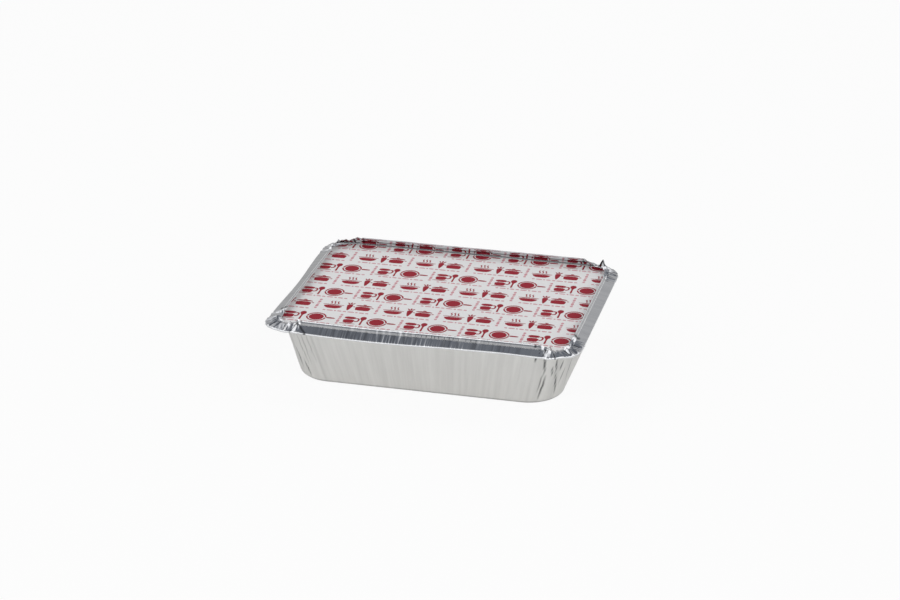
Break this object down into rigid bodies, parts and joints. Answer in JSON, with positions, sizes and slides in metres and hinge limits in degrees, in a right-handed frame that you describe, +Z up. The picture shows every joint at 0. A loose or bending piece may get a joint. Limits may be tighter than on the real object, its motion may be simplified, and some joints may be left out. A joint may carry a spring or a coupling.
{
  "type": "foil food container",
  "caption": "Rectangular pressed aluminium foil tray with a flat printed card lid, closed by its rim folded in over the lid's edge.",
  "frame": {"origin": "middle of the base, on the surface that the container stands on", "axes": "+X along the long side, to the right seen from the front; +Y to the back; +Z up"},
  "size_m": [0.2274, 0.1721, 0.0533],
  "materials": {
    "foil": "rolled foil, satin outside, creased at the corners",
    "card": "white coated board",
    "red_ink": "dark red print",
    "pale_ink": "pale red print"
  },
  "bodies": {
    "root": {"foil_tray": "foil", "card_lid": "card", "print_red": "red_ink", "print_pale": "pale_ink"}
  },
  "joints": []
}
